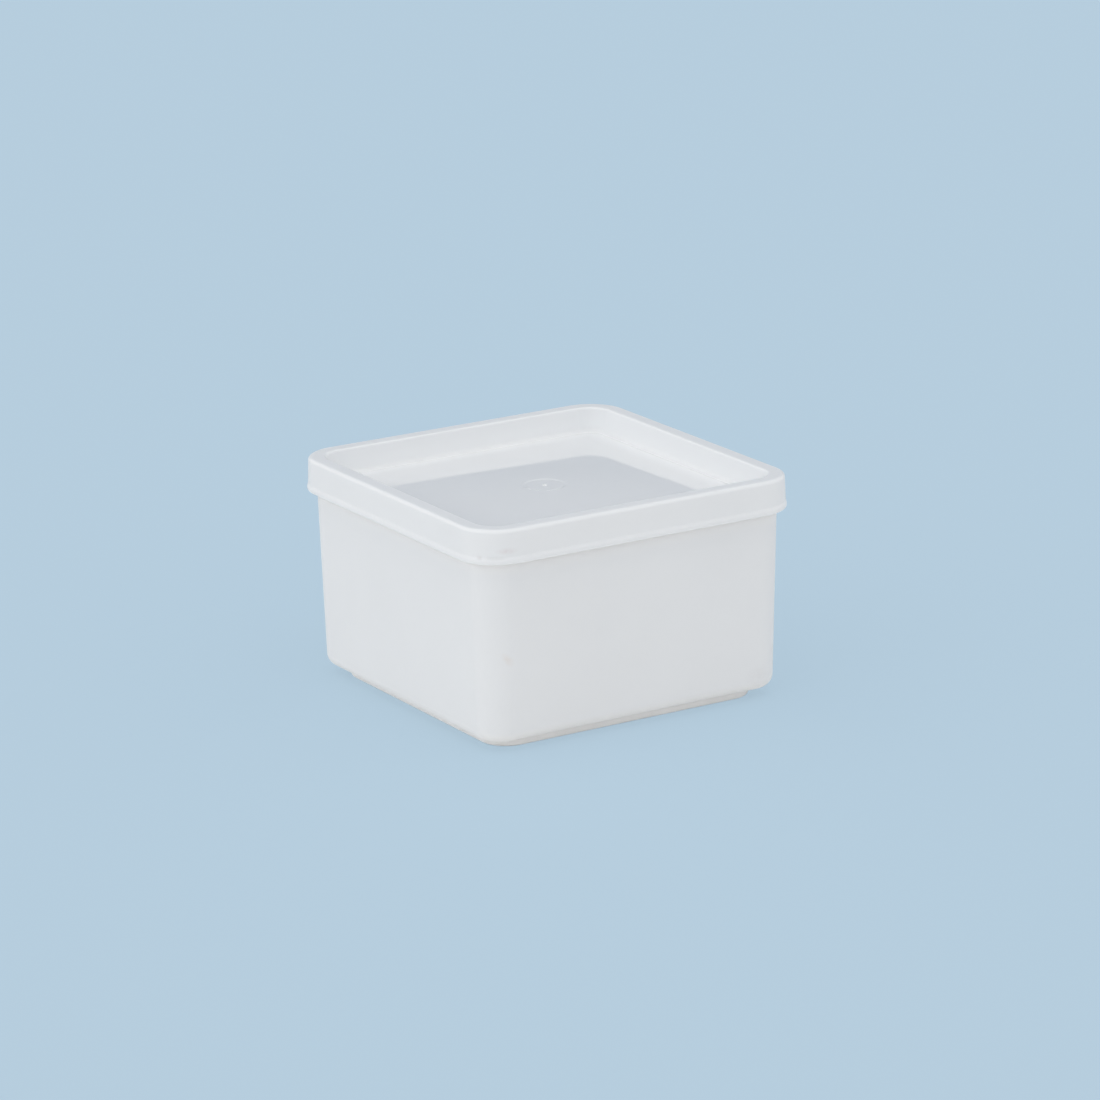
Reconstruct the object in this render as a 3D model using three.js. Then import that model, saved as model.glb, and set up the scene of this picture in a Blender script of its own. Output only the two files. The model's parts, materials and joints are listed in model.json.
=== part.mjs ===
// Square storage container: a drafted tub that stands on a foot, and a press-on lid with a sunken top.
// Millimetres, +Z up. The origin is the middle of the footprint, on the surface that the foot stands on.

import * as THREE from 'three';
import { mergeVertices } from 'three/addons/utils/BufferGeometryUtils.js';

// Tub
const COLLAR_WIDTH = 113.6; // across the flats of the thick collar round the mouth
const CORNER_RADIUS = 11.4; // of the collar, seen from above
const TUB_HEIGHT = 71.45; // from the foot to the rim
const COLLAR_HEIGHT = 7.25;
const COLLAR_PROUD = 0.9; // how far the collar stands out of the wall below it
const COLLAR_CHAMFER = 0.9; // height of the slope under the collar
const RIM_ROUND = 1.0; // on both edges of the rim
const WALL = 1.5;
const BODY_TAPER = 1.7; // how far each wall leans in on its way down
const BASE_ROUND = 4.1; // on the lower edge of the body
const FOOT_LEDGE = 1.4; // flat underside between the rounded edge and the foot
const FOOT_HEIGHT = 3.0;
const FOOT_CORNER_RADIUS = 9.0;
const FOOT_ROUND = 0.8;
const FOOT_LAND = 2.6; // width of the flat ring that touches the table
const BASE_LIFT = 0.8; // gap under the base panel inside that ring
const FLOOR = 1.6;
const TUB_GATE_RADIUS = 1.2; // moulding mark under the base
const TUB_GATE_HEIGHT = 0.4;

// Lid
const CLEARANCE = 0.3; // between the lid and the tub, all the way round the rim
const LID_WALL = 1.1;
const SKIRT_WALL = 1.3; // at the top of the skirt
const SKIRT_FLARE = 0.3; // how far the outside of the skirt leans out on its way down
const SKIRT_DEPTH = 11.05; // from the lid's top to the skirt's lower edge
const LIP_PROUD = 0.3; // the bead along the skirt's lower edge
const LIP_HEIGHT = 2.5;
const LIP_SLOPE = 1.0; // height of the slope on top of the bead
const LIP_ROUND = 0.9;
const LEAD_IN = 0.5; // slope inside the lower edge that guides the lid on
const TOP_ROUND_OUTSIDE = 1.2;
const TOP_ROUND_INSIDE = 0.7;
const RECESS_DEPTH = 7.85; // from the lid's top down to the edge of its floor
const RECESS_TAPER = 1.5; // how far each recess wall leans in on its way down
const RECESS_ROUND = 0.8; // where the recess wall meets the floor
const PLUG_ROUND = 1.2; // under the recess, where the lid enters the tub
const CROWN = 1.1; // how far the middle of the floor rises above its edge
const GATE_WELL_RADIUS = 7.1; // shallow round well with the moulding mark in its middle
const GATE_WELL_DEPTH = 0.25;
const LID_GATE_RADIUS = 0.6;
const LID_GATE_HEIGHT = 0.3;

// Finish
const PLASTIC_COLOUR = 0xe4e8eb;
const TUB_ROUGHNESS = 0.42;
const LID_ROUGHNESS = 0.3;

// Fineness of the surfaces
const CORNER_STEPS = 8; // chords in each quarter turn of a corner seen from above
const ARC_STEPS = 4; // chords in each rounded edge
const CROWN_RINGS = 4;
const SHARPEST_CORNER = 0.5; // the least corner radius that a section may have, seen from above
const ROUND_SHARE = 0.96; // rounded edges take up at most this share of the face between them

// Distances of the tub's faces from its middle
const collar = COLLAR_WIDTH / 2;
const cornerAxis = collar - CORNER_RADIUS; // every wall turns its corners about this one upright axis
const wallTop = collar - COLLAR_PROUD;
const wallFoot = wallTop - BODY_TAPER;
const insideTop = wallTop - WALL;
const insideFoot = wallFoot - WALL;
const insideRound = Math.max(BASE_ROUND - WALL, SHARPEST_CORNER);
const footSide = wallFoot - BASE_ROUND - FOOT_LEDGE;
const footAxis = footSide - FOOT_CORNER_RADIUS;
const landEdge = footSide - FOOT_ROUND - FOOT_LAND;
const wellSide = footSide - WALL;
const collarFoot = TUB_HEIGHT - COLLAR_HEIGHT;

// Distances of the lid's faces from its middle, and their heights
const skirtInside = collar + CLEARANCE;
const skirtTop = skirtInside + SKIRT_WALL;
const skirtFoot = skirtTop + SKIRT_FLARE;
const lip = skirtFoot + LIP_PROUD;
const plugTop = insideTop - CLEARANCE;
const plugFoot = plugTop - RECESS_TAPER;
const recessTop = plugTop - LID_WALL;
const recessFoot = plugFoot - LID_WALL;
const channelTop = TUB_HEIGHT + CLEARANCE;
const lidTop = channelTop + LID_WALL;
const lipFoot = lidTop - SKIRT_DEPTH;
const lipTop = lipFoot + LIP_HEIGHT;
const lidFloor = lidTop - RECESS_DEPTH;
const lidUnderside = lidFloor - LID_WALL;

/**
 * One corner of a section, cut from the middle of the piece to its side.
 * reach is the distance from the middle to the flat side, axis the distance from the middle to the
 * upright axis that the corner turns about, and round the radius that its edge is rounded to.
 */
function corner(reach, z, axis, round = 0) {
  return { reach, z, axis: Math.min(axis, Math.max(reach - SHARPEST_CORNER, 0)), round };
}

/** Corner of a section that turns about the container's own corner axes. */
function wall(reach, z, round = 0) {
  return corner(reach, z, cornerAxis, round);
}

/** Corner of a section that turns about the foot's corner axes. */
function foot(reach, z, round = 0) {
  return corner(reach, z, footAxis, round);
}

/** Point of a round boss in the middle of the piece. */
function boss(radius, z) {
  return { reach: radius, z, axis: 0, round: 0 };
}

/** Replaces each rounded corner of a section by the points of its arc. */
function roundEdges(corners) {
  return corners.flatMap((here, index) => {
    if (here.round === 0) {
      return [here];
    }
    const at = new THREE.Vector2(here.reach, here.z);
    const beside = [corners[index - 1], corners[index + 1]];
    const [back, ahead] = beside.map((other) => new THREE.Vector2(other.reach, other.z).sub(at));
    const rooms = [back, ahead].map(
      (face, side) => (ROUND_SHARE * face.length()) / (beside[side].round === 0 ? 1 : 2),
    );
    back.normalize();
    ahead.normalize();
    const halfAngle = Math.acos(back.dot(ahead)) / 2;
    const setback = Math.min(here.round / Math.tan(halfAngle), ...rooms);
    const radius = setback * Math.tan(halfAngle);
    const centre = back.clone().add(ahead).normalize();
    centre.multiplyScalar(radius / Math.sin(halfAngle)).add(at);
    const start = back.clone().multiplyScalar(setback).add(at);
    const turn = Math.sign(ahead.cross(back)) * (Math.PI - 2 * halfAngle);
    return Array.from({ length: ARC_STEPS + 1 }, (_, step) => {
      const point = start.clone().rotateAround(centre, (turn * step) / ARC_STEPS);
      return { reach: point.x, z: point.y, axis: here.axis };
    });
  });
}

/** Closes a surface: joins the vertices that coincide and drops the triangles that shrank to a line. */
function closed(geometry) {
  geometry.deleteAttribute('normal');
  geometry.deleteAttribute('uv');
  const joined = mergeVertices(geometry);
  const index = Array.from(joined.getIndex().array);
  const kept = [];
  for (let first = 0; first < index.length; first += 3) {
    const triangle = index.slice(first, first + 3);
    if (new Set(triangle).size === triangle.length) {
      kept.push(...triangle);
    }
  }
  joined.setIndex(kept);
  joined.computeVertexNormals();
  return joined;
}

/** Lathe whose four quarters are pushed out to the corner axes, so that each level is a rounded square. */
function roundedSquareLathe(section) {
  const profile = section.map(({ reach, axis, z }) => new THREE.Vector2(reach - axis, z));
  const perQuarter = CORNER_STEPS + 1;
  const columns = 4 * perQuarter;
  const lathe = new THREE.LatheGeometry(profile, columns);
  const places = lathe.getAttribute('position');
  for (let column = 0; column <= columns; column += 1) {
    const quarter = Math.floor((column % columns) / perQuarter);
    const step = column % perQuarter;
    const angle = ((quarter + step / CORNER_STEPS) * Math.PI) / 2;
    const towards = ((quarter + 0.5) * Math.PI) / 2;
    section.forEach(({ reach, axis, z }, row) => {
      const radius = reach - axis;
      places.setXYZ(
        column * section.length + row,
        axis * Math.sign(Math.cos(towards)) + radius * Math.cos(angle),
        axis * Math.sign(Math.sin(towards)) + radius * Math.sin(angle),
        z,
      );
    });
  }
  return closed(lathe);
}

/** Rings of the lid's crowned floor at the height of its edge, from the gate well to the recess wall. */
function crownRings(edgeHeight) {
  return Array.from({ length: CROWN_RINGS }, (_, ring) => {
    const share = ring / CROWN_RINGS;
    const reach = THREE.MathUtils.lerp(GATE_WELL_RADIUS, recessFoot, share);
    return corner(reach, edgeHeight + CROWN * (1 - share ** 2), cornerAxis * share);
  });
}

/** Mesh of one piece, with its own finish. */
function piece(name, section, roughness) {
  const finish = new THREE.MeshStandardMaterial({ color: PLASTIC_COLOUR, roughness, metalness: 0 });
  const mesh = new THREE.Mesh(roundedSquareLathe(roundEdges(section)), finish);
  mesh.name = name;
  return mesh;
}

/** Open tub: base panel, foot, body, collar and rim, then the inside down to its floor. */
function makeTub() {
  const ledgeInside = FOOT_HEIGHT + FLOOR;
  const wellFloor = BASE_LIFT + FLOOR;
  return piece('tub', [
    boss(0, BASE_LIFT - TUB_GATE_HEIGHT),
    boss(TUB_GATE_RADIUS, BASE_LIFT - TUB_GATE_HEIGHT),
    boss(TUB_GATE_RADIUS, BASE_LIFT),
    foot(landEdge - BASE_LIFT, BASE_LIFT),
    foot(landEdge, 0),
    foot(footSide, 0, FOOT_ROUND),
    foot(footSide, FOOT_HEIGHT),
    wall(wallFoot, FOOT_HEIGHT, BASE_ROUND),
    wall(wallTop, collarFoot),
    wall(collar, collarFoot + COLLAR_CHAMFER),
    wall(collar, TUB_HEIGHT, RIM_ROUND),
    wall(insideTop, TUB_HEIGHT, RIM_ROUND),
    wall(insideTop, collarFoot),
    wall(insideFoot, ledgeInside, insideRound),
    foot(wellSide, ledgeInside, FOOT_ROUND),
    foot(wellSide, wellFloor, FOOT_ROUND),
    boss(TUB_GATE_RADIUS, wellFloor),
    boss(0, wellFloor),
  ], TUB_ROUGHNESS);
}

/** One-piece lid: underside and plug, the channel over the tub's rim, skirt, lip, top rim and sunken floor. */
function makeLid() {
  const floorMiddle = lidFloor + CROWN;
  const wellFloor = floorMiddle - GATE_WELL_DEPTH;
  return piece('lid', [
    boss(0, floorMiddle - LID_WALL),
    ...crownRings(lidUnderside),
    wall(plugFoot, lidUnderside, PLUG_ROUND),
    wall(plugTop, channelTop),
    wall(skirtInside, channelTop, RIM_ROUND + CLEARANCE),
    wall(skirtInside, lipFoot + LEAD_IN),
    wall(skirtInside + LEAD_IN, lipFoot),
    wall(lip, lipFoot, LIP_ROUND),
    wall(lip, lipTop - LIP_SLOPE),
    wall(skirtFoot, lipTop),
    wall(skirtTop, lidTop, TOP_ROUND_OUTSIDE),
    wall(recessTop, lidTop, TOP_ROUND_INSIDE),
    wall(recessFoot, lidFloor, RECESS_ROUND),
    ...crownRings(lidFloor).reverse(),
    boss(GATE_WELL_RADIUS, wellFloor),
    boss(LID_GATE_RADIUS, wellFloor),
    boss(LID_GATE_RADIUS, wellFloor + LID_GATE_HEIGHT),
    boss(0, wellFloor + LID_GATE_HEIGHT),
  ], LID_ROUGHNESS);
}

const container = new THREE.Group();
container.name = 'square_storage_container';
container.add(makeTub(), makeLid());

export default container;
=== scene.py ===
"""Square storage container in milky plastic: a drafted tub on a stacking foot, and its press-on lid.

Metres, +Z up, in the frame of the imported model. Both pieces are thin closed mouldings. Each one grows from
bands that run round a square with rounded corners and from discs turned about its middle.
"""

import json
import logging
import math
from collections.abc import Callable, Mapping, Sequence
from dataclasses import dataclass, field
from enum import Enum
from itertools import pairwise
from typing import NamedTuple

import bmesh
import bpy
from mathutils import Euler, Matrix, Vector


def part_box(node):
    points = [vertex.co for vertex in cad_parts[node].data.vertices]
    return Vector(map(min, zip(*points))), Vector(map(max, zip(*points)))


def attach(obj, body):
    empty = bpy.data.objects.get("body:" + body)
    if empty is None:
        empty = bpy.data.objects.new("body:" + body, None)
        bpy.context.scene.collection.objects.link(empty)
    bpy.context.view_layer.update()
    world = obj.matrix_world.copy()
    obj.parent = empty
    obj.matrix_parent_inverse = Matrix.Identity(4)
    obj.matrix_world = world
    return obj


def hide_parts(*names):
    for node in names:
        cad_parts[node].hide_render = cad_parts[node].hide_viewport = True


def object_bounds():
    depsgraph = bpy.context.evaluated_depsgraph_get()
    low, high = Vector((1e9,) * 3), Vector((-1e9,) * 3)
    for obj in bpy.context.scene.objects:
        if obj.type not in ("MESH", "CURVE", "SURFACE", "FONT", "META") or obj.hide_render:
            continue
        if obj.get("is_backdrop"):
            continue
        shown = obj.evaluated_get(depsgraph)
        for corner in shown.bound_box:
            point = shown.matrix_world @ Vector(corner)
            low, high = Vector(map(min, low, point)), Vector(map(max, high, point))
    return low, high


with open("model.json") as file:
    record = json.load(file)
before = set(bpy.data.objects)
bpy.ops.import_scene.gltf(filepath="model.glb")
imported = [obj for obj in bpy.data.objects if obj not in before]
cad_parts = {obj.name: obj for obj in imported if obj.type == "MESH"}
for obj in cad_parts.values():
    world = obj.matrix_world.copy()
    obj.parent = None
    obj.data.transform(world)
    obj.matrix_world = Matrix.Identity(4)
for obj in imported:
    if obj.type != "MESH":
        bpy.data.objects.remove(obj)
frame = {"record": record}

LOG = logging.getLogger("container")

MM = 0.001
SIDES = 4
UPRIGHT = (0, 0, 1)

Triple = tuple[float, float, float]
Height = Callable[[float, float], float]
WirePart = bmesh.types.BMVert | bmesh.types.BMEdge
Source = bpy.types.NodeSocket | float | Sequence[float]


class MixSockets(NamedTuple):
    """Places of a mix node's sockets, whose names are shared by every kind of mix."""

    share: int
    one: int
    other: int
    result: int


COLOUR_MIX = MixSockets(0, 6, 7, 2)
NUMBER_MIX = MixSockets(0, 2, 3, 0)
SHADER_MIX = MixSockets(0, 1, 2, 0)


class Body(Enum):
    """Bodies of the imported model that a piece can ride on."""

    TUB = "tub"
    LID = "lid"


class Slot(Enum):
    """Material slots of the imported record."""

    TUB = "tub_plastic"
    LID = "lid_plastic"

    def colour(self) -> Triple:
        """Returns the base colour that the record gives the slot."""
        materials = frame["record"]["materials"]
        return tuple(next(m["base_color"] for m in materials if m["slot"] == self.value))


class Share(Enum):
    """Vertex attributes that the plastic reads, each from 0 to 1."""

    POLISHED = "polished"
    # Share of the paler colour: painted light where shade falls, and in places thicker plastic.
    THICK_AND_PAINTED_LIGHT = "thick"


def mm(*lengths: float) -> tuple[float, ...]:
    """Turns millimetres into metres."""
    return tuple(length * MM for length in lengths)


def reach(place: Vector, axis: float) -> float:
    """Measures how far out a place lies, on squares whose corners turn about the same upright axes.

    Args:
        place: The place.
        axis: Distance from the middle to these axes.

    Returns:
        The distance from the middle to the flat sides of the square through the place.
    """
    across, along = abs(place.x), abs(place.y)
    if min(across, along) <= axis:
        return max(across, along)
    return axis + math.hypot(across - axis, along - axis)


def ease(value: float, start: float, end: float) -> float:
    """Runs smoothly from 0 to 1.

    Args:
        value: The value that drives the run.
        start: Value up to which the run is 0.
        end: Value from which the run is 1.

    Returns:
        The share of the run.
    """
    share = min(max((value - start) / (end - start), 0), 1)
    return share**2 * (3 - 2 * share)


@dataclass(frozen=True)
class Corner:
    """One corner of a section, cut upright through the middle of a side.

    Attributes:
        reach: Distance from the container's middle.
        z: Height above the foot.
        rounding: Radius that the edge is rounded to.
    """

    reach: float
    z: float
    rounding: float = 0.0

    def setback(self, before: "Corner", after: "Corner") -> float:
        """Measures how far the rounding reaches along both neighbouring faces.

        Args:
            before: The section's corner before this one.
            after: The section's corner after this one.

        Returns:
            The distance from the sharp corner to the ends of its arc.
        """
        here = Vector((self.reach, self.z))
        back = Vector((before.reach, before.z)) - here
        ahead = Vector((after.reach, after.z)) - here
        return self.rounding / math.tan(back.angle(ahead) / 2)


@dataclass(frozen=True)
class Fineness:
    """Steps that a shell's surfaces are cut into.

    Attributes:
        flat: Steps along each flat side.
        corner: Steps round each corner, seen from above.
        arc: Segments of each rounded edge.
        sharp: Angle between faces, in radians, from which an edge stays crisp.
    """

    flat: int = 24
    corner: int = 18
    arc: int = 8
    sharp: float = math.radians(35)

    @property
    def columns(self) -> int:
        """Vertices in one loop round a piece."""
        return SIDES * (self.flat + self.corner)


class Shell:
    """Mesh of one moulded piece, grown from square bands and turned discs.

    The ends of each band and disc are numbered loops, which bridges then join.

    Args:
        fineness: Steps that the surfaces are cut into.

    Attributes:
        MERGE: Distance within which the vertices of a closed sweep become one.
    """

    MERGE = 0.001 * MM

    def __init__(self, fineness: Fineness) -> None:
        """Starts an empty mesh."""
        self.fineness = fineness
        self.mesh = bmesh.new()
        self._loop_layer = self.mesh.verts.layers.int.new("loop")
        self._loops = 0

    def _wire(self, corners: Sequence[Corner], y: float) -> tuple[list[WirePart], int, int]:
        """Draws a section as a wire with rounded corners.

        Args:
            corners: The section's corners, in order.
            y: Place of the section's plane.

        Returns:
            The wire's vertices and edges, and the numbers of the loops that its two ends will sweep.
        """
        verts = [self.mesh.verts.new((corner.reach, y, corner.z)) for corner in corners]
        for pair in pairwise(verts):
            self.mesh.edges.new(pair)
        first, last = self._loops + 1, self._loops + 2
        self._loops = last
        verts[0][self._loop_layer] = first
        verts[-1][self._loop_layer] = last
        for before, here, after, vert in zip(corners, corners[1:], corners[2:], verts[1:]):
            if here.rounding:
                bmesh.ops.bevel(
                    self.mesh, geom=[vert], offset=here.setback(before, after), offset_type="OFFSET",
                    segments=self.fineness.arc, profile=0.5, affect="VERTICES", material=-1,
                )
        edges = [edge for edge in self.mesh.edges if edge.is_wire]
        points = {vert for edge in edges for vert in edge.verts}
        for vert in points - {verts[0], verts[-1]}:
            vert[self._loop_layer] = 0
        return [*points, *edges], first, last

    def band(self, corners: Sequence[Corner], axis: float) -> tuple[int, int]:
        """Sweeps a section round the square, along its four sides and round their corners.

        Args:
            corners: The section's corners, in order.
            axis: Distance from the middle to the upright axes that the corners turn about.

        Returns:
            The numbers of the loops at the section's first and last corner.
        """
        wire, first, last = self._wire(corners, -axis)
        heading = Vector((0, 2 * axis / self.fineness.flat, 0))
        pivot = Vector((axis, axis, 0))
        quarter = Matrix.Rotation(math.pi / 2, 3, "Z")
        still = Vector((0, 0, 0))
        for _ in range(SIDES):
            runs = ((heading, 0.0, self.fineness.flat), (still, math.pi / 2, self.fineness.corner))
            for shift, angle, steps in runs:
                wire = bmesh.ops.spin(
                    self.mesh, geom=wire, cent=pivot, axis=UPRIGHT, dvec=shift, angle=angle, steps=steps,
                )["geom_last"]
            heading = quarter @ heading
            pivot = quarter @ pivot
        bmesh.ops.remove_doubles(self.mesh, verts=self.mesh.verts[:], dist=self.MERGE)
        return first, last

    def disc(self, corners: Sequence[Corner]) -> int:
        """Turns a section about the middle.

        Args:
            corners: The section's corners, from the disc's edge to the middle.

        Returns:
            The number of the loop at the disc's edge.
        """
        wire, first, _ = self._wire(corners, 0)
        bmesh.ops.spin(
            self.mesh, geom=wire, cent=(0, 0, 0), axis=UPRIGHT, angle=2 * math.pi,
            steps=self.fineness.columns, use_merge=True,
        )
        bmesh.ops.remove_doubles(self.mesh, verts=self.mesh.verts[:], dist=self.MERGE)
        return first

    def bridge(self, one: int, other: int) -> list[bmesh.types.BMEdge]:
        """Closes the gap between two loops, which lie at different heights.

        Args:
            one: Number of the first loop.
            other: Number of the second loop.

        Returns:
            The edges that run across the gap.
        """
        layer = self._loop_layer
        loops = [
            edge for edge in self.mesh.edges
            if edge.is_boundary and all(vert[layer] in (one, other) for vert in edge.verts)
        ]
        return bmesh.ops.bridge_loops(self.mesh, edges=loops)["edges"]

    def panel(self, one: int, other: int, rings: int, height: Height) -> None:
        """Closes the gap between two loops with a curved panel.

        Args:
            one: Number of the first loop.
            other: Number of the second loop.
            rings: Loops to cut into the panel.
            height: Gives the panel's height at a place.
        """
        spokes = self.bridge(one, other)
        cut = bmesh.ops.subdivide_edges(self.mesh, edges=spokes, cuts=rings, use_grid_fill=True)
        for vert in (part for part in cut["geom_inner"] if isinstance(part, bmesh.types.BMVert)):
            vert.co.z = height(vert.co.x, vert.co.y)

    def mark(self, share: Share, value: Callable[[Vector], float]) -> None:
        """Writes a vertex attribute.

        Args:
            share: The attribute.
            value: Gives its value at a place.
        """
        layer = self.mesh.verts.layers.float.new(share.value)
        for vert in self.mesh.verts:
            vert[layer] = value(vert.co)

    def piece(self, name: str) -> bpy.types.Object:
        """Turns the closed shell into an object with smooth faces and crisp edges.

        Args:
            name: Name of the new piece.

        Returns:
            The piece, in place.
        """
        self.mesh.verts.layers.int.remove(self._loop_layer)
        bmesh.ops.recalc_face_normals(self.mesh, faces=self.mesh.faces[:])
        for face in self.mesh.faces:
            face.smooth = True
        for edge in self.mesh.edges:
            edge.smooth = edge.calc_face_angle(0.0) < self.fineness.sharp
        data = bpy.data.meshes.new(name)
        self.mesh.to_mesh(data)
        self.mesh.free()
        made = bpy.data.objects.new(name, data)
        bpy.context.scene.collection.objects.link(made)
        normals = made.modifiers.new("flat faces keep their shading", "WEIGHTED_NORMAL")
        normals.keep_sharp = True
        return made


class Board:
    """Node board of one material or of the world.

    Args:
        tree: The board's node tree.
    """

    def __init__(self, tree: bpy.types.NodeTree) -> None:
        """Empties the tree."""
        self.tree = tree
        self.tree.nodes.clear()

    def add(self, kind: str, wires: Mapping[str | int, Source], **settings: object) -> bpy.types.Node:
        """Adds a node.

        Args:
            kind: The node's type.
            wires: What feeds each input, another node's socket or a value.
            settings: The node's own properties.

        Returns:
            The new node.
        """
        made = self.tree.nodes.new(kind)
        for name, value in settings.items():
            setattr(made, name, value)
        for name, source in wires.items():
            if isinstance(source, bpy.types.NodeSocket):
                self.tree.links.new(source, made.inputs[name])
            else:
                made.inputs[name].default_value = source
        return made

    def blend(self, share: Source, one: Source, other: Source) -> bpy.types.NodeSocket:
        """Blends two colours.

        Args:
            share: How much of the second colour there is.
            one: The first colour.
            other: The second colour.

        Returns:
            The blended colour.
        """
        wires = {COLOUR_MIX.share: share, COLOUR_MIX.one: one, COLOUR_MIX.other: other}
        return self.add("ShaderNodeMix", wires, data_type="RGBA").outputs[COLOUR_MIX.result]

    def layer(self, share: Source, one: Source, other: Source) -> bpy.types.NodeSocket:
        """Mixes two shaders.

        Args:
            share: How much of the second shader there is.
            one: The first shader.
            other: The second shader.

        Returns:
            The mixed shader.
        """
        wires = {SHADER_MIX.share: share, SHADER_MIX.one: one, SHADER_MIX.other: other}
        return self.add("ShaderNodeMixShader", wires).outputs[SHADER_MIX.result]

    def end(self, kind: str, shader: bpy.types.NodeSocket) -> None:
        """Ends the board in a shader.

        Args:
            kind: Type of the output node.
            shader: The shader's output.
        """
        self.add(kind, {"Surface": shader})


@dataclass(frozen=True)
class Mark:
    """A faint darker patch on the plastic: a scuff or smudge, or painted shade along a crease.

    Attributes:
        place: Its middle, on the surface.
        reach: Its three half-lengths.
        turn: How it is turned, in radians about X, Y and Z.
        keeps: Shares of red, green and blue that it sends back where it is densest.
    """

    place: Triple
    reach: Triple
    turn: Triple
    keeps: Triple


@dataclass(frozen=True)
class MilkyPlastic:
    """Translucent moulded plastic: cloudy in the mass, with a fine grain and faint scuffs, and with painted
    light: paler where shade falls, and painted shade along the lid's crease.

    Attributes:
        name: Name of the material.
        slot: Slot of the record whose colour it takes.
        thick_and_painted_light_colour: Paler colour, painted where shade falls to lift that shade and as a
            highlight, and also standing for thicker plastic at the collar and foot.
        roughness: Roughness of the moulded faces.
        grain_height: Depth of the fine grain.
        polish: Roughness where the mould was polished, if it was.
        marks: Darker patches on the surface: scuffs and smudges, and painted shade along a crease.
        milk: Share of the light that enters the plastic and comes out nearby.
        milk_reach: How far red, green and blue travel in it, next to one another.
        milk_scale: How far light travels in it.
        cloud_contrast: How much paler or deeper the clouds are than the slot's colour.
        cloud_size: Size of the clouds.
        grain_size: Size of the fine grain.
        mark_grain: Size of the gaps in a mark.
        wave_size: Size of the slow waves that cooling leaves in a moulded face.
        wave_height: Depth of these waves.
        roughness_spread: How far the roughness strays to either side.
        index: Refractive index.
    """

    name: str
    slot: Slot
    thick_and_painted_light_colour: Triple
    roughness: float
    grain_height: float
    polish: float | None = None
    marks: tuple[Mark, ...] = ()
    milk: float = 0.6
    milk_reach: Triple = (1.0, 1.0, 1.0)
    milk_scale: float = 1.2 * MM
    cloud_contrast: float = 0.02
    cloud_size: float = 35 * MM
    grain_size: float = 0.5 * MM
    mark_grain: float = 1.2 * MM
    wave_size: float = 14 * MM
    wave_height: float = 0.004 * MM
    roughness_spread: float = 0.05
    index: float = 1.49

    def make(self) -> bpy.types.Material:
        """Builds the material.

        Returns:
            The finished material.
        """
        material = bpy.data.materials.new(self.name)
        material.use_nodes = True
        board = Board(material.node_tree)
        place = board.add("ShaderNodeTexCoord", {}).outputs["Object"]
        cloud = self._noise(board, place, self.cloud_size, detail=3.0)
        shader = board.add(
            "ShaderNodeBsdfPrincipled",
            {
                "Base Color": self._colour(board, place, cloud),
                "Roughness": self._roughness(board, place),
                "IOR": self.index,
                "Normal": self._normal(board, place),
                "Subsurface Weight": self.milk,
                "Subsurface Radius": self.milk_reach,
                "Subsurface Scale": self.milk_scale,
            },
        )
        board.end("ShaderNodeOutputMaterial", shader.outputs["BSDF"])
        return material

    @staticmethod
    def _noise(board: Board, place: Source, size: float, detail: float) -> bpy.types.NodeSocket:
        """Adds a noise.

        Args:
            board: The material's board.
            place: Coordinates that the noise reads.
            size: Size of its largest features.
            detail: Finer octaves added to it.

        Returns:
            The noise's value.
        """
        wires = {"Vector": place, "Scale": 1 / size, "Detail": detail}
        return board.add("ShaderNodeTexNoise", wires).outputs["Fac"]

    def _colour(self, board: Board, place: Source, cloud: Source) -> bpy.types.NodeSocket:
        """Clouds the slot's colour, makes it paler as painted light where shade falls and where the plastic is
        thicker, and darkens it at the marks, some of which are painted shade.

        Args:
            board: The material's board.
            place: Coordinates on the piece.
            cloud: Value of the slow noise.

        Returns:
            The base colour.
        """
        base = Vector(self.slot.colour())
        pale = (*(base * (1 + self.cloud_contrast)), 1)
        deep = (*(base * (1 - self.cloud_contrast)), 1)
        thin = board.blend(cloud, deep, pale)
        thick = board.add("ShaderNodeAttribute", {}, attribute_name=Share.THICK_AND_PAINTED_LIGHT.value)
        # Painted light: the paler colour lifts shade under the lip, in the recess and at the foot, and paints
        # a highlight on the lid's moulding mark; at the collar and foot it also stands for thicker plastic.
        made = board.blend(thick.outputs["Fac"], thin, (*self.thick_and_painted_light_colour, 1))
        for mark in self.marks:
            made = self._marked(board, place, made, mark)
        return made

    def _marked(self, board: Board, place: Source, colour: Source, mark: Mark) -> bpy.types.NodeSocket:
        """Darkens a colour at one mark: a scuff or smudge, or painted shade.

        Args:
            board: The material's board.
            place: Coordinates on the piece.
            colour: The colour so far.
            mark: The mark.

        Returns:
            The colour with the scuff.
        """
        wires = {"Vector": place, "Location": mark.place, "Rotation": mark.turn, "Scale": mark.reach}
        local = board.add("ShaderNodeMapping", wires, vector_type="TEXTURE").outputs["Vector"]
        blob = board.add("ShaderNodeTexGradient", {"Vector": local}, gradient_type="SPHERICAL")
        ragged = self._noise(board, place, self.mark_grain, detail=2.0)
        wires = {0: blob.outputs["Fac"], 1: ragged}
        share = board.add("ShaderNodeMath", wires, operation="MULTIPLY").outputs[0]
        dark = (*(base * kept for base, kept in zip(self.slot.colour(), mark.keeps)), 1)
        return board.blend(share, colour, dark)

    def _roughness(self, board: Board, place: Source) -> bpy.types.NodeSocket:
        """Varies the roughness a little and lowers it where the mould was polished.

        Args:
            board: The material's board.
            place: Coordinates on the piece.

        Returns:
            The roughness.
        """
        patches = self._noise(board, place, self.wave_size, detail=4.0)
        low, high = self.roughness - self.roughness_spread, self.roughness + self.roughness_spread
        wires = {"Value": patches, "To Min": low, "To Max": high}
        moulded = board.add("ShaderNodeMapRange", wires).outputs["Result"]
        if self.polish is None:
            return moulded
        polished = board.add("ShaderNodeAttribute", {}, attribute_name=Share.POLISHED.value).outputs["Fac"]
        wires = {NUMBER_MIX.share: polished, NUMBER_MIX.one: moulded, NUMBER_MIX.other: self.polish}
        return board.add("ShaderNodeMix", wires, data_type="FLOAT").outputs[NUMBER_MIX.result]

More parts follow.
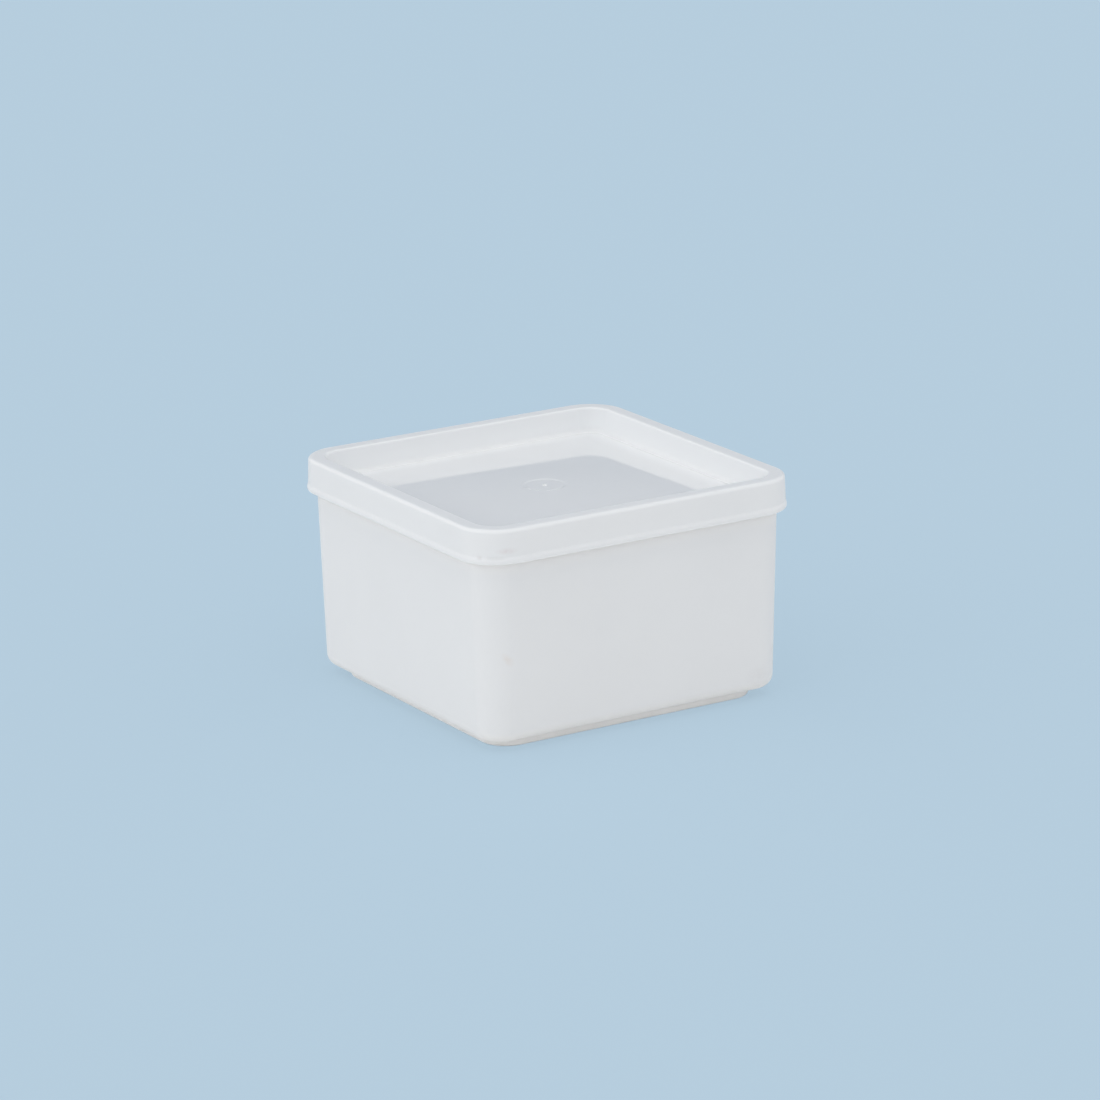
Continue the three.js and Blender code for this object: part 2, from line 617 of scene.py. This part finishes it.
    def _normal(self, board: Board, place: Source) -> bpy.types.NodeSocket:
        """Gives the surface its fine grain over a slow waviness.

        Args:
            board: The material's board.
            place: Coordinates on the piece.

        Returns:
            The bumped normal.
        """
        grain = self._noise(board, place, self.grain_size, detail=2.0)
        fine = board.add("ShaderNodeBump", {"Height": grain, "Distance": self.grain_height})
        wave = self._noise(board, place, self.wave_size, detail=0.0)
        wires = {"Height": wave, "Distance": self.wave_height, "Normal": fine.outputs["Normal"]}
        return board.add("ShaderNodeBump", wires).outputs["Normal"]


@dataclass
class Tub:
    """The open tub: foot, drafted walls, and the collar round its mouth.

    Attributes:
        collar: Distance from the middle to the collar's flat sides.
        height: From the foot to the rim.
        corner_radius: Of the collar, seen from above.
        collar_height: From the collar's foot to the rim.
        collar_proud: How far the collar stands out from the wall.
        collar_chamfer: Height of the slope under the collar.
        rim_round: Rounding of the rim's edges.
        wall: Thickness of the walls.
        taper: How far each wall leans in, from the collar to the ledge.
        base_round: Rounding of the body's lower edge.
        foot_ledge: Width of the flat ledge beside the foot.
        foot_height: Height of the foot.
        foot_corner_radius: Of the foot, seen from above.
        foot_round: Rounding of the foot's lower edge.
        foot_land: Width of the ring that stands on the table.
        base_lift: Height of the base panel above the table.
        floor: Thickness of the floor.
        gate_radius: Radius of the moulding mark under the base.
        gate_height: Height of that mark.
        dome: How much higher the base panel is in the middle.
        ledge_draft: How much higher the ledge is at the foot than at the body.
        crease: Rounding of the small creases.
        run: Length of the flat faces that bands and discs end in.
        painted_light_zone: Distances below the collar at which the painted paler colour starts, and is
            strongest; it is painted light that lifts the shade under the lid's lip.
        wall_rows: Rows of faces that carry this painted light.
        rings: Loops cut into the base panel and the floor.
        fineness: Steps that the surfaces are cut into.
    """

    collar: float
    height: float
    corner_radius: float = 11.4 * MM
    collar_height: float = 7.25 * MM
    collar_proud: float = 0.9 * MM
    collar_chamfer: float = 0.9 * MM
    rim_round: float = 1.0 * MM
    wall: float = 1.5 * MM
    taper: float = 1.7 * MM
    base_round: float = 4.1 * MM
    foot_ledge: float = 1.4 * MM
    foot_height: float = 3.0 * MM
    foot_corner_radius: float = 9.0 * MM
    foot_round: float = 0.8 * MM
    foot_land: float = 2.6 * MM
    base_lift: float = 0.8 * MM
    floor: float = 1.6 * MM
    gate_radius: float = 1.2 * MM
    gate_height: float = 0.4 * MM
    dome: float = 0.3 * MM
    ledge_draft: float = 0.15 * MM
    crease: float = 0.3 * MM
    run: float = 0.5 * MM
    painted_light_zone: tuple[float, float] = (8.0 * MM, 2.4 * MM)
    wall_rows: int = 6
    rings: int = 8
    fineness: Fineness = field(default_factory=Fineness)

    @property
    def axis(self) -> float:
        """Distance from the middle to the walls' corner axes."""
        return self.collar - self.corner_radius

    @property
    def wall_top(self) -> float:
        """Distance from the middle to the wall's outside, under the collar."""
        return self.collar - self.collar_proud

    @property
    def wall_foot(self) -> float:
        """Distance from the middle to the wall's outside, at its lower edge."""
        return self.wall_top - self.taper

    @property
    def inside_top(self) -> float:
        """Distance from the middle to the inside of the mouth."""
        return self.wall_top - self.wall

    @property
    def foot_side(self) -> float:
        """Distance from the middle to the foot's flat sides."""
        return self.wall_foot - self.base_round - self.foot_ledge

    def _walls(self, shell: Shell) -> tuple[int, int]:
        """Adds the body, from the ledge beside the foot over the rim and down to the inside ledge.

        Args:
            shell: The tub's shell.

        Returns:
            The numbers of the loops at the outer and the inner ledge.
        """
        collar_foot = self.height - self.collar_height
        rows = [self.painted_light_zone[0] * (1 - row / self.wall_rows) for row in range(self.wall_rows)]
        lean = self.taper / (collar_foot - self.foot_height)
        inside_foot = self.wall_foot - self.wall
        inside_round = self.base_round - self.wall
        ledge = self.foot_height + self.floor
        return shell.band([
            Corner(self.wall_foot - self.base_round - self.run, self.foot_height),
            Corner(self.wall_foot, self.foot_height, self.base_round),
            *(Corner(self.wall_top - drop * lean, collar_foot - drop) for drop in rows),
            Corner(self.wall_top, collar_foot, self.crease),
            Corner(self.collar, collar_foot + self.collar_chamfer, self.crease),
            Corner(self.collar, self.height, self.rim_round),
            Corner(self.inside_top, self.height, self.rim_round),
            Corner(self.inside_top, collar_foot, self.rim_round),
            Corner(inside_foot, ledge, inside_round),
            Corner(inside_foot - inside_round - self.run, ledge),
        ], self.axis)

    def _foot(self, shell: Shell) -> tuple[int, int]:
        """Adds the outside of the foot, from the ledge down to the base panel.

        Args:
            shell: The tub's shell.

        Returns:
            The numbers of the loops at the ledge and at the base panel.
        """
        land = self.foot_side - self.foot_round - self.foot_land
        top = self.foot_height + self.ledge_draft
        return shell.band([
            Corner(self.foot_side + self.run, top),
            Corner(self.foot_side, top, self.crease),
            Corner(self.foot_side, 0, self.foot_round),
            Corner(land, 0, self.crease),
            Corner(land - self.base_lift, self.base_lift, self.crease),
            Corner(land - self.base_lift - self.run, self.base_lift),
        ], self.foot_side - self.foot_corner_radius)

    def _well(self, shell: Shell) -> tuple[int, int]:
        """Adds the inside of the foot, from the inside ledge down to the floor.

        Args:
            shell: The tub's shell.

        Returns:
            The numbers of the loops at the ledge and at the floor.
        """
        side = self.foot_side - self.wall
        ledge = self.foot_height + self.floor - self.ledge_draft
        floor = self.base_lift + self.floor
        return shell.band([
            Corner(side + self.foot_round + self.run, ledge),
            Corner(side, ledge, self.foot_round),
            Corner(side, floor, self.foot_round),
            Corner(side - self.foot_round - self.run, floor),
        ], self.foot_side - self.foot_corner_radius)

    def build(self) -> bpy.types.Object:
        """Builds the tub.

        Returns:
            The tub's piece.
        """
        shell = Shell(self.fineness)
        peak = self.base_lift + self.dome
        gate = shell.disc([
            Corner(self.gate_radius + self.run, peak),
            Corner(self.gate_radius, peak, self.crease / 2),
            Corner(self.gate_radius, peak - self.gate_height, self.crease / 2),
            Corner(0, peak - self.gate_height),
        ])
        middle = shell.disc([Corner(self.gate_radius, peak + self.floor), Corner(0, peak + self.floor)])
        well_top, floor = self._well(shell)
        foot_top, panel = self._foot(shell)
        ledge, inside_ledge = self._walls(shell)
        shell.bridge(ledge, foot_top)
        shell.bridge(inside_ledge, well_top)
        shell.panel(panel, gate, self.rings, self._underside)
        shell.panel(floor, middle, self.rings, self._floor_top)
        # Paler colour painted under the lid's lip and at the foot, lifting their shade.
        shell.mark(Share.THICK_AND_PAINTED_LIGHT, self._thick_and_painted_light_share)
        return shell.piece("tub_moulding")

    def _thick_and_painted_light_share(self, place: Vector) -> float:
        """Works out the share of the paler colour, from the wall to the collar and to the foot: partly thicker
        plastic at the collar and foot, mostly painted light that lifts the shade under the lid's lip and at
        the foot.

        Args:
            place: Place on the tub.

        Returns:
            A share from 0 in the wall to 1 in the collar and the foot.
        """
        # Painted light: paler below the collar, where the lid's lip casts shade, and at the foot, where the
        # floor's shadow falls; the collar and foot are also thicker plastic.
        below = self.height - self.collar_height - place.z
        start, end = self.painted_light_zone
        collar = min(max((start - below) / (start - end), 0), 1) ** 2
        return max(collar, ease(place.z, self.foot_height + self.base_round, self.foot_height))

    def _underside(self, x: float, y: float) -> float:
        """Works out the height of the base panel's underside, which is domed so that only the foot stands.

        Args:
            x: Place on the panel.
            y: Place on the panel.

        Returns:
            The height there.
        """
        edge = self.foot_side - self.foot_round - self.foot_land - self.base_lift - self.run
        return self.base_lift + self.dome * ease(math.hypot(x, y), edge, self.gate_radius + self.run)

    def _floor_top(self, x: float, y: float) -> float:
        """Works out the height of the floor inside the tub.

        Args:
            x: Place on the floor.
            y: Place on the floor.

        Returns:
            The height there.
        """
        return self._underside(x, y) + self.floor

    def dress(self, piece: bpy.types.Object, finish: MilkyPlastic) -> None:
        """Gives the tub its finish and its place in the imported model.

        Args:
            piece: The tub's piece.
            finish: Its plastic.
        """
        piece.data.materials.append(finish.make())
        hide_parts("tub")
        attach(piece, Body.TUB.value)


@dataclass
class Lid:
    """The press-on lid: skirt with a lip bead, raised rim, and the sunken crowned floor.

    Attributes:
        lip: Distance from the middle to the lip's flat sides.
        top: Height of the rim above the tub's foot.
        foot: Height of the skirt's lower edge.
        tub: The tub that the lid presses onto.
        clearance: Gap between lid and tub.
        wall: Thickness of the floor and the recess wall.
        skirt_wall: Thickness of the skirt under the rim.
        skirt_flare: How much thicker the skirt is above the lip.
        lip_height: Height of the lip bead.
        lip_slope: Height of the slope on top of the lip.
        lip_round: Rounding of the lip's edges.
        lead_in: Chamfer that guides the skirt over the collar.
        top_round_outside: Rounding of the rim's outer edge.
        top_round_inside: Rounding of the rim's inner edge.
        recess_depth: From the rim to the floor's edge.
        recess_taper: How far the recess wall leans in.
        recess_round: Rounding between the recess wall and the floor.
        plug_round: Rounding of the plug's lower edge.
        crown: How much higher the floor is in the middle.
        crown_power: How gently the crown ends at the walls, from 1 for a crease.
        gate_well_radius: Radius of the round well in the middle.
        gate_well_depth: Depth of that well.
        gate_ramp: Width of the slope round it.
        gate_radius: Radius of the moulding mark in the well.
        gate_height: Height of that mark.
        crease: Rounding of the small creases.
        run: Length of the flat faces that bands and discs end in.
        painted_light_zone: Width of the floor's edge that is painted paler, as painted light that lifts the
            shade at the foot of the recess wall.
        rings: Loops cut into the floor.
        fineness: Steps that the surfaces are cut into.
    """

    lip: float
    top: float
    foot: float
    tub: Tub
    clearance: float = 0.3 * MM
    wall: float = 1.1 * MM
    skirt_wall: float = 1.3 * MM
    skirt_flare: float = 0.3 * MM
    lip_height: float = 2.5 * MM
    lip_slope: float = 1.0 * MM
    lip_round: float = 0.9 * MM
    lead_in: float = 0.5 * MM
    top_round_outside: float = 1.2 * MM
    top_round_inside: float = 0.7 * MM
    recess_depth: float = 7.85 * MM
    recess_taper: float = 1.5 * MM
    recess_round: float = 1.4 * MM
    plug_round: float = 1.2 * MM
    crown: float = 1.1 * MM
    crown_power: float = 1.5
    gate_well_radius: float = 7.1 * MM
    gate_well_depth: float = 0.14 * MM
    gate_ramp: float = 0.95 * MM
    gate_radius: float = 0.6 * MM
    gate_height: float = 0.3 * MM
    crease: float = 0.2 * MM
    run: float = 0.5 * MM
    painted_light_zone: float = 6.0 * MM
    rings: int = 20
    fineness: Fineness = field(default_factory=Fineness)

    @property
    def floor(self) -> float:
        """Height of the floor's edge."""
        return self.top - self.recess_depth

    @property
    def recess_foot(self) -> float:
        """Distance from the middle to the foot of the recess wall."""
        return self.tub.inside_top - self.clearance - self.wall - self.recess_taper

    def _walls(self, shell: Shell) -> tuple[int, int]:
        """Adds the plug, the channel over the tub's rim, the skirt, the top rim and the recess wall.

        Args:
            shell: The lid's shell.

        Returns:
            The numbers of the loops at the edge of the underside and at the edge of the floor.
        """
        underside = self.floor - self.wall
        plug_top = self.tub.inside_top - self.clearance
        plug_foot = plug_top - self.recess_taper
        channel = self.tub.height + self.clearance
        skirt_inside = self.tub.collar + self.clearance
        skirt_top = skirt_inside + self.skirt_wall
        skirt_foot = skirt_top + self.skirt_flare
        lip_top = self.foot + self.lip_height
        recess_top = plug_top - self.wall
        return shell.band([
            Corner(plug_foot - self.plug_round - self.run, underside),
            Corner(plug_foot, underside, self.plug_round),
            Corner(plug_top, channel, self.crease),
            Corner(skirt_inside, channel, self.tub.rim_round + self.clearance),
            Corner(skirt_inside, self.foot + self.lead_in, self.crease),
            Corner(skirt_inside + self.lead_in, self.foot, self.crease),
            Corner(self.lip, self.foot, self.lip_round),
            Corner(self.lip, lip_top - self.lip_slope, self.lip_round),
            Corner(skirt_foot, lip_top, self.lip_round),
            Corner(skirt_top, self.top, self.top_round_outside),
            Corner(recess_top, self.top, self.top_round_inside),
            Corner(self.recess_foot, self.floor, self.recess_round),
            Corner(self.recess_foot - self.recess_round - self.run, self.floor),
        ], self.tub.axis)

    def _gate(self, shell: Shell) -> int:
        """Adds the shallow round well in the floor's middle, with the moulding mark in it.

        Args:
            shell: The lid's shell.

        Returns:
            The number of the loop at the well's edge.
        """
        outside = self.gate_well_radius + self.run
        edge = self._surface(outside, 0)
        well = edge - self.gate_well_depth
        return shell.disc([
            Corner(outside, edge),
            Corner(self.gate_well_radius, edge, self.crease),
            Corner(self.gate_well_radius - self.gate_ramp, well, self.crease),
            Corner(self.gate_radius + self.run, well),
            Corner(self.gate_radius, well, self.crease / 2),
            Corner(self.gate_radius, well + self.gate_height, self.gate_height - self.crease / 2),
            Corner(0, well + self.gate_height),
        ])

    def _surface(self, x: float, y: float) -> float:
        """Works out the height of the crowned floor.

        Args:
            x: Place on the floor.
            y: Place on the floor.

        Returns:
            The floor's height there.
        """
        edge = self.recess_foot - self.recess_round - self.run
        share = math.prod(max(1 - (place / edge) ** 2, 0) ** self.crown_power for place in (x, y))
        return self.floor + self.crown * share

    def _underside(self, x: float, y: float) -> float:
        """Works out the height of the floor's underside.

        Args:
            x: Place under the floor.
            y: Place under the floor.

        Returns:
            The underside's height there.
        """
        return self._surface(x, y) - self.wall

    def _polish(self, place: Vector) -> float:
        """Tells the polished floor from the rest.

        Args:
            place: Place on the lid.

        Returns:
            1 on the floor and 0 elsewhere.
        """
        return float(reach(place, self.tub.axis) < self.recess_foot - self.recess_round)

    def _thick_and_painted_light_share(self, place: Vector) -> float:
        """Works out the share of the paler colour, which grows to where the recess wall meets the floor:
        painted light that lifts the shade in the recess and under the lip, and a painted highlight on the
        moulding mark.

        Args:
            place: Place on the lid.

        Returns:
            A share from 0 at the rim, and on the floor's middle, to 1 at the foot of the wall, at the moulding
            mark and under the lip.
        """
        out = reach(place, self.tub.axis)
        # Outside the recess: painted light under the lip, paler towards its lower edge, lifts the shade there.
        if place.z < self.floor - self.wall / 2 or out > self.tub.inside_top:
            return ease(place.z, self.foot + self.lip_round, self.foot)
        # Painted highlight on the moulding mark.
        if math.hypot(place.x, place.y) < self.gate_radius + self.crease:
            return 1.0
        # Painted light on the floor's edge and up the recess wall, lifting the shade of the recess.
        inner = self.recess_foot - self.recess_round
        if out < inner:
            return max(1 - (inner - out) / self.painted_light_zone, 0)
        return min((self.top - place.z) / self.recess_depth, 1)

    def build(self) -> bpy.types.Object:
        """Builds the lid.

        Returns:
            The lid's piece.
        """
        shell = Shell(self.fineness)
        well = self._gate(shell)
        underside = self._underside(self.gate_well_radius, 0)
        middle = shell.disc([Corner(self.gate_well_radius, underside), Corner(0, underside)])
        under_edge, floor_edge = self._walls(shell)
        shell.panel(floor_edge, well, self.rings, self._surface)
        shell.panel(under_edge, middle, self.rings, self._underside)
        shell.mark(Share.POLISHED, self._polish)
        # Paler colour painted in the recess and under the lip, lifting their shade, with a painted highlight
        # on the moulding mark.
        shell.mark(Share.THICK_AND_PAINTED_LIGHT, self._thick_and_painted_light_share)
        return shell.piece("lid_moulding")

    def dress(self, piece: bpy.types.Object, finish: MilkyPlastic) -> None:
        """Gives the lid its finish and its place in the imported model.

        Args:
            piece: The lid's piece.
            finish: Its plastic.
        """
        piece.data.materials.append(finish.make())
        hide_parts("lid")
        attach(piece, Body.LID.value)


@dataclass(frozen=True)
class SoftLight:
    """A distant soft light.

    Attributes:
        name: Name of the lamp.
        azimuth: Side that it shines from, in degrees: 0 is the side of -Y, 90 the side of +X.
        elevation: Height that it shines from, in degrees above the floor.
        spread: Angle that it fills in the sky, in degrees.
        level: Share of full white that a surface facing it gets.
    """

    name: str
    azimuth: float
    elevation: float
    spread: float
    level: float

    def place(self) -> bpy.types.Object:
        """Adds the lamp to the scene.

        Returns:
            The lamp.
        """
        lamp = bpy.data.lights.new(self.name, "SUN")
        lamp.angle = math.radians(self.spread)
        # A sun of strength pi lights a white surface that faces it to full white.
        lamp.energy = self.level * math.pi
        made = bpy.data.objects.new(self.name, lamp)
        made.rotation_euler = (math.radians(90 - self.elevation), 0, math.radians(self.azimuth))
        bpy.context.scene.collection.objects.link(made)
        return made


@dataclass(frozen=True)
class Studio:
    """Pale floor under a soft white tent that is open to a dim room behind the container.

    Attributes:
        floor_reach: Half the length of the floor's sides.
        floor_colour: What the camera and the gloss see of the floor.
        floor_glow: Share of that colour that the container's shadow doesn't darken.
        floor_bounce: Colour of the light that the floor sends back.
        tent: Light of the tent.
        room: Light of the dim room.
        room_azimuth: Side that the room lies on, in degrees: 0 is the side of -Y, 90 the side of +X.
        room_elevation: Height of the opening's middle, in degrees above the floor.
        room_spread: Angles from that middle at which the room gives way to the tent, in degrees.
        lights: The lamps.
    """

    floor_reach: float = 12.0
    floor_colour: Triple = (0.482, 0.628, 0.745)
    floor_glow: float = 0.7
    floor_bounce: Triple = (0.855, 0.848, 0.842)
    tent: Triple = (0.96, 0.96, 0.96)
    room: Triple = (0.22, 0.28, 0.37)
    room_azimuth: float = 146
    room_elevation: float = 16
    room_spread: tuple[float, float] = (28, 42)
    lights: tuple[SoftLight, ...] = (
        SoftLight("key_light", azimuth=-88, elevation=6, spread=70, level=0.16),
    )

    def build(self) -> None:
        """Builds the floor, the tent and the lamps."""
        self._floor()
        self._tent()
        for light in self.lights:
            light.place()

    def _floor(self) -> None:
        """Lays the floor at the height of the foot."""
        mesh = bmesh.new()
        bmesh.ops.create_grid(mesh, x_segments=1, y_segments=1, size=self.floor_reach)
        data = bpy.data.meshes.new("floor")
        mesh.to_mesh(data)
        mesh.free()
        floor = bpy.data.objects.new("floor", data)
        bpy.context.scene.collection.objects.link(floor)
        data.materials.append(self._floor_finish())
        floor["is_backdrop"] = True

    def _floor_finish(self) -> bpy.types.Material:
        """Makes the floor's material, which bounces a plainer light than the camera and the gloss see.

        Returns:
            The floor's material.
        """
        material = bpy.data.materials.new("pale_floor")
        material.use_nodes = True
        board = Board(material.node_tree)
        lit = board.add("ShaderNodeBsdfDiffuse", {"Color": (*self.floor_colour, 1)}).outputs["BSDF"]
        glow = board.add("ShaderNodeEmission", {"Color": (*self.floor_colour, 1)}).outputs["Emission"]
        seen = board.layer(self.floor_glow, lit, glow)
        bounced = board.add("ShaderNodeBsdfDiffuse", {"Color": (*self.floor_bounce, 1)}).outputs["BSDF"]
        path = board.add("ShaderNodeLightPath", {}).outputs
        direct = path["Is Camera Ray"]
        for ray in ("Is Glossy Ray", "Is Transmission Ray"):
            direct = board.add("ShaderNodeMath", {0: direct, 1: path[ray]}, operation="MAXIMUM").outputs[0]
        board.end("ShaderNodeOutputMaterial", board.layer(direct, bounced, seen))
        return material

    def _tent(self) -> None:
        """Lights the tent and leaves it dim towards the room."""
        world = bpy.data.worlds.new("tent")
        world.use_nodes = True
        board = Board(world.node_tree)
        azimuth, height = math.radians(self.room_azimuth), math.radians(self.room_elevation)
        aim = (math.sin(azimuth) * math.cos(height), -math.cos(azimuth) * math.cos(height), math.sin(height))
        direction = board.add("ShaderNodeTexCoord", {}).outputs["Generated"]
        towards = board.add("ShaderNodeVectorMath", {0: direction, 1: aim}, operation="DOT_PRODUCT")
        inner, outer = (math.cos(math.radians(angle)) for angle in self.room_spread)
        wires = {"Value": towards.outputs["Value"], "From Min": outer, "From Max": inner}
        share = board.add("ShaderNodeMapRange", wires, interpolation_type="SMOOTHSTEP").outputs["Result"]
        colour = board.blend(share, (*self.tent, 1), (*self.room, 1))
        board.end("ShaderNodeOutputWorld", board.add("ShaderNodeBackground", {"Color": colour}).outputs[0])
        bpy.context.scene.world = world


@dataclass(frozen=True)
class Viewpoint:
    """Camera at the photograph's viewing angle.

    Attributes:
        azimuth: Side that it looks from, in degrees: 0 is the side of -Y.
        elevation: Angle that it looks down, in degrees.
        roll: Turn about its line of sight, in degrees.
        distance: From the lens to the container's middle.
        lens: Focal length, in millimetres.
        sensor: Width of the sensor, in millimetres.
        aim_right: How far right of the container's middle it aims, in its picture.
        aim_up: How far above the container's middle it aims, in its picture.
    """

    azimuth: float = -31.453
    elevation: float = 16.557
    roll: float = -1.036
    distance: float = 1.56
    lens: float = 160.1
    sensor: float = 36.0
    aim_right: float = 1.20 * MM
    aim_up: float = 7.68 * MM

    def place(self, middle: Vector) -> bpy.types.Object:
        """Adds the camera to the scene.

        Args:
            middle: The container's middle.

        Returns:
            The camera.
        """
        turn = Euler((math.radians(90 - self.elevation), 0, math.radians(self.azimuth))).to_matrix()
        rolled = turn @ Matrix.Rotation(math.radians(self.roll), 3, "Z")
        right, up, back = rolled.col
        eye = middle + back * self.distance
        aim = middle + right * self.aim_right + up * self.aim_up
        data = bpy.data.cameras.new("viewpoint")
        data.lens = self.lens
        data.sensor_width = self.sensor
        made = bpy.data.objects.new("viewpoint", data)
        away = (eye - aim).normalized()
        level = up.cross(away).normalized()
        basis = Matrix((level, away.cross(level), away)).transposed()
        made.matrix_world = Matrix.LocRotScale(eye, basis.to_quaternion(), None)
        bpy.context.scene.collection.objects.link(made)
        bpy.context.scene.camera = made
        return made


CORNER_SCUFF = Mark(
    place=mm(-47.7, -54.7, 30.5), reach=mm(3.2, 1.5, 1.6), turn=(0, 0.85, -0.2), keeps=(0.96, 0.89, 0.83),
)
# Darker patch low on the near-right wall, towards its right end.
RIGHT_LOW_DARK_PATCH = Mark(
    place=mm(44.5, -54.4, 8.5), reach=mm(6.0, 2.0, 4.0), turn=(0, 0, 0), keeps=(0.93, 0.92, 0.92),
)
SKIRT_SMUDGE = Mark(
    place=mm(-49.3, -58.0, 66.2), reach=mm(4.2, 1.5, 1.2), turn=(0, 0, -0.31), keeps=(0.88, 0.81, 0.81),
)
# Painted shade along the lip bead's upper crease near the front corner, with slight smudges.
LIP_CREASE_SHADE_AND_SMUDGE = Mark(
    place=mm(-52.5, -56.7, 64.1), reach=mm(4.0, 1.2, 0.8), turn=(0, 0, -0.58), keeps=(0.84, 0.83, 0.82),
)
# Painted shade in a spot at the lip bead's upper crease near the front corner, partly a smudge.
LIP_CREASE_SHADE_SPOT = Mark(
    place=mm(-56.2, -53.3, 64.2), reach=mm(1.2, 1.2, 1.0), turn=(0, 0, -0.9), keeps=(0.84, 0.81, 0.81),
)

TUB_FINISH = MilkyPlastic(
    "tub_satin_plastic",
    Slot.TUB,
    # Paler, warmer colour painted under the lid's lip and at the foot to lift their shade.
    thick_and_painted_light_colour=(0.928, 0.927, 0.918),
    roughness=0.42,
    grain_height=0.006 * MM,
    marks=(CORNER_SCUFF, RIGHT_LOW_DARK_PATCH),
)
LID_FINISH = MilkyPlastic(
    "lid_gloss_plastic",
    Slot.LID,
    # Paler colour painted in the recess and under the lip to lift their shade, and on the moulding mark as a
    # highlight.
    thick_and_painted_light_colour=(0.896, 0.918, 0.941),
    roughness=0.36,
    grain_height=0.003 * MM,
    polish=0.06,
    marks=(SKIRT_SMUDGE, LIP_CREASE_SHADE_AND_SMUDGE, LIP_CREASE_SHADE_SPOT),
)


def main() -> None:
    """Builds the container, then the studio and the camera round it."""
    logging.basicConfig(level=logging.INFO, format="%(name)s: %(message)s")
    bpy.context.scene.view_settings.view_transform = "Standard"
    cad_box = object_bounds()
    tub_low, tub_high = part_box("tub")
    lid_low, lid_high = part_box("lid")

    tub = Tub(collar=tub_high.x, height=tub_high.z)
    tub_piece = tub.build()
    tub.dress(tub_piece, TUB_FINISH)
    LOG.info("%s: %d faces, foot at %.1f mm", tub_piece.name, len(tub_piece.data.polygons), tub_low.z / MM)

    lid = Lid(lip=lid_high.x, top=lid_high.z, foot=lid_low.z, tub=tub)
    lid_piece = lid.build()
    lid.dress(lid_piece, LID_FINISH)
    LOG.info("%s: %d faces", lid_piece.name, len(lid_piece.data.polygons))

    Studio().build()
    low, high = cad_box
    Viewpoint().place(Vector((0, 0, (low.z + high.z) / 2)))


if __name__ == "__main__":
    main()
